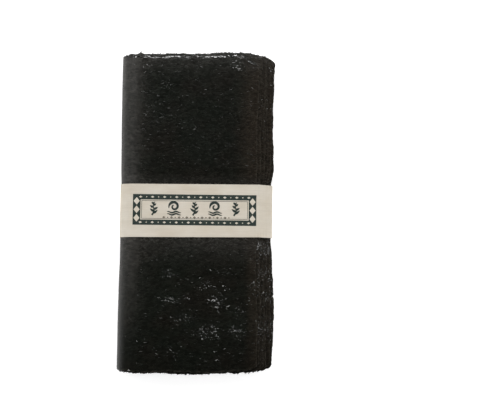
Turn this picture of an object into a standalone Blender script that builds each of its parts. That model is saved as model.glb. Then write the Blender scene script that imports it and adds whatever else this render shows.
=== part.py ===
"""A bundle of whole nori sheets, folded together once and held by a paper band.

Metres, +Z up. The bundle lies on its back with the label side up: the fold runs along -X,
the open edges lie one beyond the other along +X, and +Y is the end that is up when the
label is read.
"""

import math
import random

import bmesh
import bpy
import numpy as np
from mathutils.geometry import convex_hull_2d

SHEET_COUNT = 10
SHEET_LENGTH = 0.210  # along the fold
SHEET_WIDTH = 0.187  # across the fold, before folding
SHEET_THICKNESS = 0.0003
SHEET_PITCH = 0.0007  # from the middle of one sheet to the middle of the next
FOLD_CENTRE_X = -0.0432  # axis of the fold that all the sheets share

END_SHIFT = 0.0011  # most that a sheet lies towards one end of the bundle
EDGE_SHIFT = 0.0007  # most that a sheet's fold lies off its middle
END_WAVER = 0.0004  # unevenness of the cut ends
END_WAVER_LENGTH = 0.039
EDGE_WAVER = 0.0005  # unevenness of the open edges
EDGE_WAVER_LENGTH = 0.083
CORNER_REACH = 0.018  # the open corners are rounded over this much of the width
CORNER_DEPTH = 0.005  # and this much of the length
FOLD_END_DEPTH = 0.0016  # the ends are drawn in this much round the fold
TOP_SETBACK = 0.0023  # the outermost sheet stops short of the others at the +Y end
STEP_SETBACK = 0.0030  # and shorter again past a step near its open edge
STEP_START_X = 0.028
STEP_END_X = 0.034

BAND_CENTRE_Y = 0.0004
BAND_WIDTH = 0.0353
BAND_PAPER = 0.00035
BAND_GAP = 0.0003  # between the paper and the outermost sheet
OVERLAP_START_X = -0.008  # the two ends of the strip are glued over each other underneath
OVERLAP_END_X = 0.006
OVERLAP_RAMP = 0.002
OVERLAP_STEP = 0.00008

PINCH_MARGIN = 0.001  # the bundle is still fully pressed this far past the band
PINCH_REACH = 0.010  # and is back at its own thickness this far past it
PINCH_SQUEEZE = 0.098  # share of the thickness taken up under the band
PINCH_LIFT = 0.0010  # room for the paper under the bundle
PINCH_NOTCH = 0.0012  # the open edges are drawn in under the band
NOTCH_START_X = 0.038
NOTCH_END_X = 0.050

FOLD_TAPER = 0.10  # share of the thickness lost from the crease to the nose of the fold
CREASE_X = -0.0368
NOSE_X = -0.0500
WAVE_HEIGHT = 0.0004  # slow waves of the upper face
WAVE_ACROSS = (0.098, 0.380)  # crest to crest along X and Y of the waves across the bundle
WAVE_ALONG = (0.440, 0.165)  # and of those along it
WAVE_START = 0.6
EDGE_FLARE = 0.0007  # the open edges stand up a little away from the band
FLARE_START_X = 0.028
FLARE_END_X = 0.050

FOLD_SEGMENTS = 8
LEG_STATIONS_X = (CREASE_X, -0.020, 0.000, 0.019)
EDGE_STATIONS = (0.018, 0.011, 0.005, 0.0015, 0.0)  # distances from an open edge
END_STATIONS_Y = (0.045, 0.078)  # either side of the band
HULL_STEP = math.radians(24)  # turn between two points of the paper round a corner

STACK_HEIGHT = SHEET_PITCH * (2 * SHEET_COUNT - 1)  # middle of the lowest layer to the highest
STACK_MIDDLE_Z = (STACK_HEIGHT + SHEET_THICKNESS) / 2
BAND_HALF = BAND_WIDTH / 2
NORI_COLOUR = (0.0095, 0.0105, 0.0075)
NORI_ROUGHNESS = 0.42
NORI_TONES = (0.9, 1.1)  # the sheets differ a little in depth of colour
PAPER_COLOUR = (0.62, 0.57, 0.49)
PAPER_ROUGHNESS = 0.75
SEED = 21


def ramp(value, start, end):
    """0 before start, 1 after end and straight between them."""
    return np.clip((np.asarray(value, float) - start) / (end - start), 0.0, 1.0)


def eased(value, start, end):
    """0 before start, 1 after end and smooth at both."""
    t = ramp(value, start, end)
    return t * t * (3 - 2 * t)


def pinch(y):
    """1 under the band, falling to 0 at PINCH_REACH past its edges."""
    past_edge = abs(np.asarray(y, float) - BAND_CENTRE_Y) - BAND_HALF
    return 1 - ramp(past_edge, PINCH_MARGIN, PINCH_REACH)


def toward_nose(x):
    """0 at the crease beside the fold and 1 at the nose of the fold."""
    return ramp(-x, -CREASE_X, -NOSE_X)


def pressed(points):
    """The bundle's own shape given to points of a stack of flat and even sheets.

    Heights are scaled from the lowest layer up, so that this layer stays flat on the table
    and no two sheets cross.
    """
    x, y, z = points[..., 0], points[..., 1], points[..., 2]
    banded = pinch(y)
    free = 1 - banded
    height = (z - SHEET_THICKNESS / 2) / STACK_HEIGHT
    across = np.sin(2 * math.pi * (x / WAVE_ACROSS[0] + y / WAVE_ACROSS[1]) + WAVE_START)
    along = np.cos(2 * math.pi * (x / WAVE_ALONG[0] - y / WAVE_ALONG[1]))
    rise = WAVE_HEIGHT * across * along + EDGE_FLARE * eased(x, FLARE_START_X, FLARE_END_X)
    scale = 1 - PINCH_SQUEEZE * banded - FOLD_TAPER * toward_nose(x) * free
    top = STACK_HEIGHT * scale + rise * free
    notch = PINCH_NOTCH * banded * eased(x, NOTCH_START_X, NOTCH_END_X)
    new_z = SHEET_THICKNESS / 2 + height * top + PINCH_LIFT * banded
    return np.stack([x - notch, y, new_z], axis=-1)


def fold_radius(index):
    return SHEET_PITCH * (SHEET_COUNT - index - 0.5)


def folded_profile(index, edge_shift):
    """One flat sheet in cross-section, from its upper open edge round the fold to the lower.

    Returns each station's x and z, and its distance from the nearest open edge.
    """
    radius = fold_radius(index)
    leg = (SHEET_WIDTH - math.pi * radius) / 2
    legs = []
    for side in (1, -1):
        edge_x = FOLD_CENTRE_X + leg + side * edge_shift
        x = np.array(LEG_STATIONS_X + tuple(edge_x - gap for gap in EDGE_STATIONS))
        z = np.full(len(x), STACK_MIDDLE_Z + side * radius)
        legs.append(np.stack([x, z, edge_x - x], axis=-1))
    angle = np.linspace(math.pi / 2, 3 * math.pi / 2, FOLD_SEGMENTS + 1)
    fold_x = FOLD_CENTRE_X + radius * np.cos(angle)
    fold_z = STACK_MIDDLE_Z + radius * np.sin(angle)
    fold = np.stack([fold_x, fold_z, np.full(len(angle), leg)], axis=-1)
    return np.concatenate([legs[0][::-1], fold, legs[1]]).T


def end_inset(x, from_edge):
    """How far a sheet's ends are drawn in: round at the open corners, less at the fold."""
    t = ramp(-from_edge, -CORNER_REACH, 0)
    return CORNER_DEPTH * (1 - np.sqrt(1 - t * t)) + FOLD_END_DEPTH * toward_nose(x) ** 2


def row_stations():
    """Places along the bundle of every sheet's inner rows, the same for all of them."""
    stations = []
    for side in (-1, 1):
        stations += [BAND_CENTRE_Y + side * (BAND_HALF + past) for past in (PINCH_MARGIN, PINCH_REACH)]
        stations += [side * y for y in END_STATIONS_Y]
    return sorted(stations)


def sheet_grid(index, draw):
    """The middle surface of one folded sheet as a grid of points, before it is pressed."""
    x, z, from_edge = folded_profile(index, draw.uniform(-EDGE_SHIFT, EDGE_SHIFT))
    shift = draw.uniform(-END_SHIFT, END_SHIFT)
    inset = end_inset(x, from_edge)
    ends = []
    for side in (-1, 1):
        phase = draw.uniform(0, 2 * math.pi)
        waver = END_WAVER * np.sin(2 * math.pi * x / END_WAVER_LENGTH + phase)
        ends.append(side * (SHEET_LENGTH / 2 - inset) + shift + waver)
    if index == 0:
        on_top = z > STACK_MIDDLE_Z
        step = STEP_SETBACK * eased(x, STEP_START_X, STEP_END_X)
        ends[1] = ends[1] - TOP_SETBACK - np.where(on_top, step, 0.0)
    inner = [np.full(len(x), y) for y in row_stations()]
    y = np.stack([ends[0]] + inner + [ends[1]], axis=1)
    near_edge = ramp(-from_edge, -CORNER_REACH, 0)[:, None]
    phase = draw.uniform(0, 2 * math.pi)
    waver = EDGE_WAVER * np.sin(2 * math.pi * y / EDGE_WAVER_LENGTH + phase)
    x = x[:, None] + waver * near_edge * (1 - pinch(y))
    return np.stack([x, y, np.broadcast_to(z[:, None], y.shape)], axis=-1)


def grid_faces(rows, columns, closed=False):
    """Quads of a grid of rows by columns points, joined up both ways if closed."""
    index = np.arange(rows * columns).reshape(rows, columns)
    if closed:
        index = np.pad(index, ((0, 1), (0, 1)), mode="wrap")
    corners = (index[:-1, :-1], index[:-1, 1:], index[1:, 1:], index[1:, :-1])
    return np.stack(corners, axis=-1).reshape(-1, 4)


def new_mesh(name, points, closed=False):
    """A mesh of triangles over a grid of points, split the same way throughout."""
    mesh = bpy.data.meshes.new(name)
    faces = grid_faces(*points.shape[:2], closed=closed)
    mesh.from_pydata(points.reshape(-1, 3).tolist(), [], faces.tolist())
    work = bmesh.new()
    work.from_mesh(mesh)
    if closed:
        bmesh.ops.recalc_face_normals(work, faces=work.faces)
    bmesh.ops.triangulate(work, faces=work.faces, quad_method="FIXED")
    work.to_mesh(mesh)
    work.free()
    return mesh


def new_material(name, colour, roughness):
    material = bpy.data.materials.new(name)
    material.use_nodes = True
    shader = material.node_tree.nodes["Principled BSDF"]
    shader.inputs["Base Color"].default_value = (*colour, 1.0)
    shader.inputs["Roughness"].default_value = roughness
    shader.inputs["Metallic"].default_value = 0.0
    return material


def new_object(mesh, colour, roughness, parent):
    obj = bpy.data.objects.new(mesh.name, mesh)
    obj.parent = parent
    mesh.materials.append(new_material(mesh.name, colour, roughness))
    bpy.context.scene.collection.objects.link(obj)
    return obj


def add_sheet(index, draw, parent):
    """One folded sheet: its pressed middle surface, thickened both ways."""
    mesh = new_mesh(f"sheet_{index + 1:02d}", pressed(sheet_grid(index, draw)))
    tone = draw.uniform(*NORI_TONES)
    obj = new_object(mesh, [tone * channel for channel in NORI_COLOUR], NORI_ROUGHNESS, parent)
    solid = obj.modifiers.new("thickness", "SOLIDIFY")
    solid.thickness = SHEET_THICKNESS
    solid.offset = 0.0
    return obj


def section_corners():
    """Corners, anticlockwise, of the taut outline round all the sheets under the band."""
    middles = []
    for index in range(SHEET_COUNT):
        x, z, _ = folded_profile(index, EDGE_SHIFT)
        across = pressed(np.stack([x, np.full(len(x), BAND_CENTRE_Y), z], axis=-1))
        middles.append(across[:, (0, 2)])
    points = np.concatenate(middles)
    upside_down = points * (1, -1) + (0, points[:, 1].min() + points[:, 1].max())
    points = np.concatenate([points, upside_down])
    corners = points[convex_hull_2d([tuple(point) for point in points])]
    following = np.roll(corners, -1, axis=0)
    area = np.sum(corners[:, 0] * following[:, 1] - corners[:, 1] * following[:, 0])
    return corners if area > 0 else corners[::-1]


def taut_loop(corners):
    """Points round a convex outline with the outward direction at each, turning at corners."""
    edge = np.roll(corners, -1, axis=0) - corners
    heading = np.arctan2(-edge[:, 0], edge[:, 1])
    spots, outward = [], []
    for corner, before, after in zip(corners, np.roll(heading, 1), heading):
        turn = (after - before) % (2 * math.pi)
        for angle in np.linspace(before, before + turn, 2 + int(turn / HULL_STEP)):
            spots.append(corner)
            outward.append((math.cos(angle), math.sin(angle)))
    return np.array(spots), np.array(outward)


def with_overlap(spots, outward):
    """Adds the stations of the glued overlap underneath and says where the paper is double."""
    double = np.zeros(len(spots))
    facing_down = np.flatnonzero(np.isclose(outward[:, 1], -1))
    after = facing_down[np.argmin(spots[facing_down, 0])] + 1
    stations = (
        (OVERLAP_START_X - OVERLAP_RAMP, 0.0),
        (OVERLAP_START_X, 1.0),
        (OVERLAP_END_X, 1.0),
        (OVERLAP_END_X + OVERLAP_STEP, 0.0),
    )
    extra = [(x, spots[after, 1]) for x, _ in stations]
    spots = np.insert(spots, after, extra, axis=0)
    outward = np.insert(outward, after, [(0.0, -1.0)] * len(stations), axis=0)
    return spots, outward, np.insert(double, after, [layers for _, layers in stations])


def add_band(parent):
    """The paper strip round the bundle, a closed loop with a double thickness below."""
    spots, outward, double = with_overlap(*taut_loop(section_corners()))
    inner = spots + outward * (SHEET_THICKNESS / 2 + BAND_GAP)
    outer = inner + outward * BAND_PAPER * (1 + double[:, None])
    low, high = BAND_CENTRE_Y - BAND_HALF, BAND_CENTRE_Y + BAND_HALF
    ring = [(outer, low), (outer, BAND_CENTRE_Y), (outer, high)]
    ring += [(inner, high), (inner, BAND_CENTRE_Y), (inner, low)]
    columns = [np.insert(loop, 1, y, axis=1) for loop, y in ring]
    mesh = new_mesh("paper_band", np.stack(columns, axis=1), closed=True)
    return new_object(mesh, PAPER_COLOUR, PAPER_ROUGHNESS, parent)


def centre_on_table(parent, objects):
    """Moves the whole bundle so that the middle of its box stands on the origin."""
    bpy.context.view_layer.update()
    graph = bpy.context.evaluated_depsgraph_get()
    corners = []
    for obj in objects:
        shape = obj.evaluated_get(graph).to_mesh()
        places = np.empty(3 * len(shape.vertices))
        shape.vertices.foreach_get("co", places)
        places = places.reshape(-1, 3)
        corners += [places.min(axis=0), places.max(axis=0)]
    low, high = np.min(corners, axis=0), np.max(corners, axis=0)
    parent.location = (-(low[0] + high[0]) / 2, -(low[1] + high[1]) / 2, -low[2])


def build_bundle():
    draw = random.Random(SEED)
    bundle = bpy.data.objects.new("bundle", None)
    bpy.context.scene.collection.objects.link(bundle)
    objects = [add_sheet(index, draw, bundle) for index in range(SHEET_COUNT)]
    objects.append(add_band(bundle))
    centre_on_table(bundle, objects)


for old in list(bpy.data.objects):
    bpy.data.objects.remove(old, do_unlink=True)
build_bundle()
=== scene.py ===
import math
import random

import bpy
import numpy as np
from mathutils import Euler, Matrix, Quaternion, Vector
from mathutils.geometry import convex_hull_2d


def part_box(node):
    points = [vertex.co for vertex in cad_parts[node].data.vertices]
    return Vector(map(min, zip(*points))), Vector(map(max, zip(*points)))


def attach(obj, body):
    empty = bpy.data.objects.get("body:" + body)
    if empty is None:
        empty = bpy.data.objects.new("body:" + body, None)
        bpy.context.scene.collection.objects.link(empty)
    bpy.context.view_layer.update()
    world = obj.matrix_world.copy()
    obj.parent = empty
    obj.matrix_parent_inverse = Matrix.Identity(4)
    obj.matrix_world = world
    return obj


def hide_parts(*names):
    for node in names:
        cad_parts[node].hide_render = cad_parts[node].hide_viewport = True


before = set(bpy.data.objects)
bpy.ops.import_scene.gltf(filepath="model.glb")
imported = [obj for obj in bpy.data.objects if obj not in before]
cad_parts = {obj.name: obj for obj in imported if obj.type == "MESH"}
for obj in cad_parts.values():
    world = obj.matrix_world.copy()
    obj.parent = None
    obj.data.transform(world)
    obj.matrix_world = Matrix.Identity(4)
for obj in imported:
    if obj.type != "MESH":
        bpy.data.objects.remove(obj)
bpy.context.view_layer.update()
print("frame loaded,", len(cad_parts), "nodes")

mm = 0.001
degree = math.pi / 180

# The folded stack, with the sizes that the solids were made from. A pair is of the near and the far end, a
# rise is how much it comes to, where it starts and where it is full.
stack = {
    "sheets": 10,
    "length": 210 * mm,  # along the fold
    "width": 187 * mm,  # across the fold, before folding
    "solidThickness": 0.3 * mm,
    "pitch": 0.7 * mm,
    "foldX": -43.2 * mm,
    "endShift": 1.1 * mm,
    "edgeShift": 0.7 * mm,
    "edgeOut": 0.3 * mm,
    "endWaver": (0.4 * mm, 39 * mm),  # height and length of a wave
    "edgeWaver": (0.5 * mm, 83 * mm),
    "slideReach": 13 * mm,  # rows as near to an end follow its outline
    "cornerReach": 18 * mm,
    "cornerDepth": (4.3 * mm, 5 * mm),
    "nearFoldEnd": (1.5 * mm, 30 * mm),  # depth, and where it starts
    "farFoldEnd": (0.16 * mm, 1.6 * mm),  # depth for the outermost sheet and for the others
    "trim": (0.8 * mm, 0.7 * mm),  # the sheets stop short, and frayed bits reach past them
    "slant": ((-1.1 * mm, 12 * mm, 32 * mm), (1.1 * mm, -6 * mm, 12 * mm)),  # rises
    "topSetback": 2.3 * mm,
    "stepSetback": (3.0 * mm, 28 * mm, 34 * mm),
    "squeeze": 0.098,  # share of the thickness taken up under the band
    "lift": 1.0 * mm,
    "pinchReach": (1 * mm, 10 * mm),  # past the band's edges
    "notch": (1.2 * mm, 38 * mm, 50 * mm),
    "foldTaper": 0.10,
    "creaseX": -36.8 * mm,
    "noseX": -50.0 * mm,
    "creaseDrop": (0.006, 0, 3.5 * mm),  # share of the height, past the crease
    "waveHeight": 0.4 * mm,
    "waveAcross": (98 * mm, 380 * mm),
    "waveAlong": (440 * mm, 165 * mm),
    "waveStart": 0.6,
    "flare": (0.7 * mm, 28 * mm, 50 * mm),
    "foldLean": (0.8 * mm, -30 * mm, 85 * mm),  # the fold stands out more towards its far end
    "nearSpread": (0.013, 15 * mm, 75 * mm),  # the near half is wider by a share
    "seed": 21,
}
stack["height"] = stack["pitch"] * (2 * stack["sheets"] - 1)
stack["middleZ"] = (stack["height"] + stack["solidThickness"]) / 2
halfLength = stack["length"] / 2

# The paper strip round the waist.
band = {
    "middleY": 0.4 * mm,
    "width": 34.8 * mm,
    "paper": 0.2 * mm,
    "overlap": 14 * mm,  # glued length underneath
    "tucked": (0.24 * mm, 7 * mm),  # how deep the first stretch lies under the last, and its way up
    "over": (0.1 * mm, 3 * mm),  # how high the last stretch lies, and its way there
    "sunk": 0.12 * mm,  # below the solid's outline
    "skew": (0.0080, 0.0025),  # slope of the lower and of the upper edge across the bundle
    "step": 0.55 * mm,  # between two stations round the strip
    "rows": 36,
    "edgeCurl": (0.09 * mm, 1.4 * mm),  # height and reach
    "curlFade": (0.5, 17 * mm, 1),
    "sag": ((0.06 * mm, 13 * mm, 8 * mm), (0.024 * mm, 5 * mm, 3 * mm)),  # clouds: height and cell
    "creaseDepth": 0.20 * mm,
    "creaseWidth": 0.42 * mm,
    "creaseWander": (0.35 * mm, 9 * mm, 1),
    "creaseFade": (0.4, 11 * mm, 1),
    "creaseX": (39.2 * mm, 41.0 * mm, 42.9 * mm, 44.5 * mm, 46.6 * mm),
}

# The outermost sheet's nose gives the way from the flat stack's own X to the frame's X.
noseX = stack["foldX"] - stack["pitch"] * (stack["sheets"] - 0.5) - stack["solidThickness"] / 2
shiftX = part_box("sheet_01")[0].x - noseX


# 0 before start, 1 after end, straight between them.
def ramp(value, start, end):
    return np.clip((np.asarray(value, float) - start) / (end - start), 0, 1)


# The same, with both ends rounded: 3t^2 - 2t^3.
def eased(value, start, end):
    t = ramp(value, start, end)
    return t * t * (3 - 2 * t)


# A rise: its size times the eased way from its start to where it is full.
def rising(value, sizes):
    size, start, full = sizes
    return size * eased(value, start, full)


# Slope noise: every corner of a lattice has a random direction and gives a plane that rises that way, and
# the four planes round a point are blended by 6t^5 - 15t^4 + 10t^3. It runs from about -1 to 1.
def slopeNoise(u, v, seed):
    angle = np.random.RandomState(seed).uniform(0, 2 * math.pi, (128, 128))
    u, v = np.broadcast_arrays(np.asarray(u, float), np.asarray(v, float))
    cellU, cellV = np.floor(u).astype(int), np.floor(v).astype(int)
    inU, inV = u - cellU, v - cellV
    blendU = inU ** 3 * (inU * (inU * 6 - 15) + 10)
    blendV = inV ** 3 * (inV * (inV * 6 - 15) + 10)

    def plane(stepU, stepV):
        turn = angle[(cellU + stepU) % 128, (cellV + stepV) % 128]
        return np.cos(turn) * (inU - stepU) + np.sin(turn) * (inV - stepV)

    low = plane(0, 0) * (1 - blendU) + plane(1, 0) * blendU
    high = plane(0, 1) * (1 - blendU) + plane(1, 1) * blendU
    return 1.5 * (low * (1 - blendV) + high * blendV)


# Slope noise of a given height, over cells of given lengths.
def clouds(sizes, u, v, seed):
    height, cellU, cellV = sizes
    return height * slopeNoise(u / cellU, v / cellV, seed)


# 1 under the band, 0 from the end of the pinch on, straight between.
def pinch(y):
    past = abs(y - band["middleY"]) - band["width"] / 2
    return 1 - ramp(past, *stack["pinchReach"])


# 0 up to a reach from an end, 1 at it: at the far end, or at the near one where end is -1.
def nearEnd(y, reach, end=1):
    return ramp(end * y, halfLength - reach, halfLength)


# 0 at the crease where the fold starts, 1 at its nose.
def towardNose(x):
    return ramp(-x, -stack["creaseX"], -stack["noseX"])


# Heights of the flat stack are scaled about its lowest layer: less under the band and round the fold,
# more by one slow wave times another, and by a flare at the open edges.
def pressed(x, y, z):
    banded = pinch(y)
    free = 1 - banded
    height = (z - stack["solidThickness"] / 2) / stack["height"]
    (acrossX, acrossY), (alongX, alongY) = stack["waveAcross"], stack["waveAlong"]
    across = np.sin(2 * math.pi * (x / acrossX + y / acrossY) + stack["waveStart"])
    along = np.cos(2 * math.pi * (x / alongX - y / alongY))
    rise = stack["waveHeight"] * across * along + rising(x, stack["flare"])
    taper = stack["foldTaper"] * towardNose(x) + rising(stack["creaseX"] - x, stack["creaseDrop"])
    top = stack["height"] * (1 - stack["squeeze"] * banded - taper * free) + rise * free
    x = x - banded * rising(x, stack["notch"])
    return x, y, stack["solidThickness"] / 2 + height * top + stack["lift"] * banded


# Arrays brought to one shape and put side by side along a new last axis.
def stacked(*parts):
    return np.stack(np.broadcast_arrays(*parts), axis=-1)


# Quads between neighbouring rows and columns of vertex numbers, facing columns x rows.
def gridFaces(index):
    return stacked(index[:-1, :-1], index[:-1, 1:], index[1:, 1:], index[1:, :-1]).reshape(-1, 4)


# A closed skin: the outer grid, the inner grid turned over, and a strip of faces between their rims.
# A ring joins its last row to its first.
def skin(outer, inner, ring=False):
    rows, columns = outer.shape[:2]
    index = np.arange(rows * columns).reshape(rows, columns)
    if ring:
        index = np.vstack([index, index[:1]])
        rims = [index[:, -1], index[::-1, 0]]
    else:
        rims = [np.concatenate([index[0, :-1], index[:-1, -1], index[-1, :0:-1], index[::-1, 0]])]
    under = rows * columns
    faces = [gridFaces(index), gridFaces(index + under)[:, ::-1]]
    for rim in rims:
        faces.append(stacked(rim[1:], rim[:-1], rim[:-1] + under, rim[1:] + under))
    return np.concatenate([outer.reshape(-1, 3), inner.reshape(-1, 3)]), np.concatenate(faces)


# Several skins put one after another into one list of points and one of faces.
def joined(skins):
    starts = np.cumsum([0] + [len(points) for points, _ in skins[:-1]])
    faces = [faces + start for (_, faces), start in zip(skins, starts)]
    return np.concatenate([points for points, _ in skins]), np.concatenate(faces)


# A new object in the scene.
def added(name, data):
    thing = bpy.data.objects.new(name, data)
    bpy.context.scene.collection.objects.link(thing)
    return thing


# A piece from points and faces, in the place of a node where one is named.
def addPiece(name, points, faces, material, slotName, node=None, flat=False):
    mesh = bpy.data.meshes.new(name)
    mesh.vertices.add(len(points))
    mesh.vertices.foreach_set("co", np.asarray(points, np.float32).ravel())
    mesh.loops.add(faces.size)
    mesh.loops.foreach_set("vertex_index", faces.ravel().astype(np.int32))
    mesh.polygons.add(len(faces))
    mesh.polygons.foreach_set("loop_start", np.arange(0, faces.size, faces.shape[1], dtype=np.int32))
    mesh.update(calc_edges=True)
    if flat:
        mesh.shade_flat()
    else:
        mesh.shade_smooth()
        mesh.set_sharp_from_angle(angle=62 * degree)
    mesh.materials.append(material)
    piece = added(name, mesh)
    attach(piece, "root")
    if node:
        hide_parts(node)
    return piece


# What the material reads at each vertex: its s and y on a sheet as a flat map, and numbers by name.
def addLooks(piece, places, looks):
    layer = piece.data.uv_layers.new(name="sheetMap")
    index = np.empty(len(piece.data.loops), np.int32)
    piece.data.loops.foreach_get("vertex_index", index)
    layer.data.foreach_set("uv", places[index].astype(np.float32).ravel())
    for name, values in looks.items():
        attribute = piece.data.attributes.new(name, "FLOAT", "POINT")
        attribute.data.foreach_set("value", values.astype(np.float32))


# The nodes of a material or of the world, and short ways to add some and to wire them.
class nodeTree:
    def __init__(self, owner, shader="Principled BSDF"):
        owner.use_nodes = True
        self.owner, self.tree = owner, owner.node_tree
        self.shader = self.tree.nodes[shader].inputs
        self.coords = self.add("TexCoord").outputs
        self.place = self.coords["Object"]

    # A wire from another socket, or a value of the socket's own.
    def wire(self, value, socket):
        if isinstance(value, bpy.types.NodeSocket):
            self.tree.links.new(value, socket)
        else:
            socket.default_value = value

    def add(self, kind, inputs=None, **settings):
        node = self.tree.nodes.new("ShaderNode" + kind)
        for setting, value in settings.items():
            setattr(node, setting, value)
        for name, value in (inputs or {}).items():
            self.wire(value, node.inputs[name])
        return node

    # The shader's three main sockets.
    def finish(self, colour, rough, specular):
        self.wire(colour, self.shader["Base Color"])
        self.wire(rough, self.shader["Roughness"])
        self.wire(specular, self.shader["Specular IOR Level"])
        return self.owner

    def math(self, operation, first, second):
        return self.add("Math", {0: first, 1: second}, operation=operation).outputs[0]

    def times(self, first, second):
        return self.math("MULTIPLY", first, second)

    def plus(self, first, second):
        return self.math("ADD", first, second)

    # A value between low and high brought between two others, and held there outside.
    def spread(self, value, low, high, toLow=0.0, toHigh=1.0):
        inputs = {"Value": value, "From Min": low, "From Max": high, "To Min": toLow, "To Max": toHigh}
        return self.add("MapRange", inputs).outputs["Result"]

    def mix(self, factor, first, second, blend="MIX"):
        inputs = {0: factor, 6: first, 7: second}
        return self.add("Mix", inputs, data_type="RGBA", blend_type=blend).outputs[2]

    # A colour times a value.
    def shaded(self, colour, value):
        shade = self.add("CombineColor", {part: value for part in range(3)}).outputs[0]
        return self.mix(1.0, colour, shade, "MULTIPLY")

    def scaled(self, vector, sizes):
        inputs = {"Vector": vector, "Scale": [1 / size for size in sizes]}
        return self.add("Mapping", inputs).outputs[0]

    # Noise and cells of given sizes along the three directions.
    def noise(self, vector, sizes, detail, distortion=0.0):
        inputs = {"Scale": 1.0, "Detail": detail, "Distortion": distortion}
        return self.add("TexNoise", {0: self.scaled(vector, sizes), **inputs}).outputs[0]

    def cells(self, vector, sizes, feature):
        return self.add("TexVoronoi", {0: self.scaled(vector, sizes), "Scale": 1.0}, feature=feature)

    def bump(self, height, distance, strength):
        inputs = {"Height": height, "Distance": distance, "Strength": strength}
        self.wire(self.add("Bump", inputs).outputs[0], self.shader["Normal"])


# A colour of three equal parts.
def grey(value):
    return (value, value, value, 1.0)


nori = {
    "green": (0.0049, 0.0058, 0.0042, 1.0),
    "brown": (0.0060, 0.0056, 0.0042, 1.0),
    "thin": (0.0145, 0.0114, 0.0081, 1.0),  # browner single leaf near the open edges, lifted a little as painted sheen of the light from the right
    "wornAndSheen": (0.0350, 0.0331, 0.0298, 1.0),  # pale over the fold: rub wear, and painted sheen of the light from the left
    "edge": (0.034, 0.030, 0.024, 1.0),  # painted highlight along the rims, where the edges catch the light
    "cloud": (24 * mm, 17 * mm, 24 * mm),
    "mottle": (3.4 * mm, 2.6 * mm, 1),  # sizes on the flat map, as the next three
    "shreds": (2.1 * mm, 1.1 * mm, 1),
    "fibres": (1.6 * mm, 0.56 * mm, 1),
    "grain": (0.5 * mm, 0.32 * mm, 1),
    "roughness": (0.23, 0.28),
    "wornRoughness": 0.56,
    "bump": 0.20 * mm,
    "specular": 0.42,
}


# Overlapping shreds of pressed leaf: long cells for the shreds, streaks along the width for their fibres,
# and a fine grain over both. The fibres stand up where the leaf is crumpled.
def noriMaterial(name, gloss=0.0, evenness=0.0):
    m = nodeTree(bpy.data.materials.new(name))
    sheet = m.add("UVMap", uv_map="sheetMap").outputs[0]
    wearAndSheen, rim, tone, thin, crumple, matte = (
        m.add("Attribute", attribute_name=each).outputs["Fac"]
        for each in ("wearAndSheen", "rim", "tone", "thin", "crumple", "matte"))
    cloud = m.noise(m.place, nori["cloud"], 4)
    mottle = m.noise(sheet, nori["mottle"], 4, 0.6)
    cells = m.cells(sheet, nori["shreds"], "F1").outputs["Color"]
    seams = m.cells(sheet, nori["shreds"], "DISTANCE_TO_EDGE").outputs["Distance"]
    fibres = m.noise(sheet, nori["fibres"], 4, 0.6)
    grain = m.noise(sheet, nori["grain"], 3)
    shredTone = m.add("SeparateColor", {"Color": cells}).outputs[0]

    colour = m.mix(m.spread(cloud, 0.42, 0.66), nori["green"], nori["brown"])
    # The thin colour is a browner single leaf, with a little painted sheen of the light from the right in
    # it.
    colour = m.mix(m.times(thin, m.spread(mottle, 0.25, 0.6, 0.55, 1.0)), colour, nori["thin"])
    # The wear share is rub wear over the fold with a painted sheen of the light from the left in it.
    paled = m.times(wearAndSheen, m.spread(mottle, 0.3, 0.68, 0.5, 1.22))
    colour = m.mix(m.times(paled, m.spread(fibres, 0.3, 0.7, 0.85, 1.1)), colour, nori["wornAndSheen"])
    depth = m.times(m.spread(shredTone, 0, 1, 0.7, 1.3), m.spread(fibres, 0.3, 0.7, 0.76, 1.28))
    colour = m.shaded(colour, depth)
    # Painted highlight: the rims are made paler, where the edges catch the light.
    colour = m.mix(m.times(rim, m.spread(mottle, 0.38, 0.62, 0.1, 1.0)), colour, nori["edge"])

    rough = m.plus(m.spread(shredTone, 0, 1, -0.03, 0.03), m.spread(fibres, 0.3, 0.7, *nori["roughness"]))
    dull = {0: matte, 2: rough, 3: nori["wornRoughness"]}
    rough = m.add("Mix", dull, clamp_factor=False).outputs[0]

    height = m.times(m.times(m.spread(fibres, 0.5, 0.74), crumple), 0.15)
    for part, share in ((fibres, 0.14), (m.spread(seams, 0, 0.2), 0.04), (grain, 0.04)):
        height = m.plus(height, m.times(part, share))
    m.bump(height, nori["bump"], 0.9 * (1 - evenness))
    return m.finish(m.shaded(colour, tone), m.math("SUBTRACT", rough, gloss), nori["specular"])


paperLook = {
    "cream": (0.590, 0.545, 0.470, 1.0),
    "warm": (0.540, 0.485, 0.400, 1.0),
    "laid": (16 * mm, 0.55 * mm, 16 * mm),
    "roughness": (0.71, 0.87),
    "bump": 0.035 * mm,
    "inkBump": 0.02 * mm,
    "inkRoughness": (0.5, 0.72),
    "fade": 0.64,  # share of paper that shows through in the palest specks of the ink
    "specular": 0.3,
}


# Uncoated paper: laid lines along the strip, soft clouds, and short fibres that also stand out as bump.
def paperMaterial(name, lightness=1.0):
    m = nodeTree(bpy.data.materials.new(name))
    laid = m.noise(m.place, paperLook["laid"], 3)
    cloud = m.noise(m.place, (14 * mm, 9 * mm, 14 * mm), 3)
    fibres = m.noise(m.place, (1.5 * mm, 0.35 * mm, 1.5 * mm), 4, 1.0)
    colour = m.mix(m.spread(cloud, 0.35, 0.7), paperLook["cream"], paperLook["warm"])
    depth = m.times(m.spread(laid, 0.3, 0.7, 0.955, 1.035), m.spread(fibres, 0.25, 0.75, 0.965, 1.03))
    m.bump(m.plus(m.times(laid, 0.5), m.times(fibres, 0.6)), paperLook["bump"], 0.8)
    rough = m.spread(fibres, 0.3, 0.7, *paperLook["roughness"])
    return m.finish(m.shaded(colour, m.times(depth, lightness)), rough, paperLook["specular"])


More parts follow.
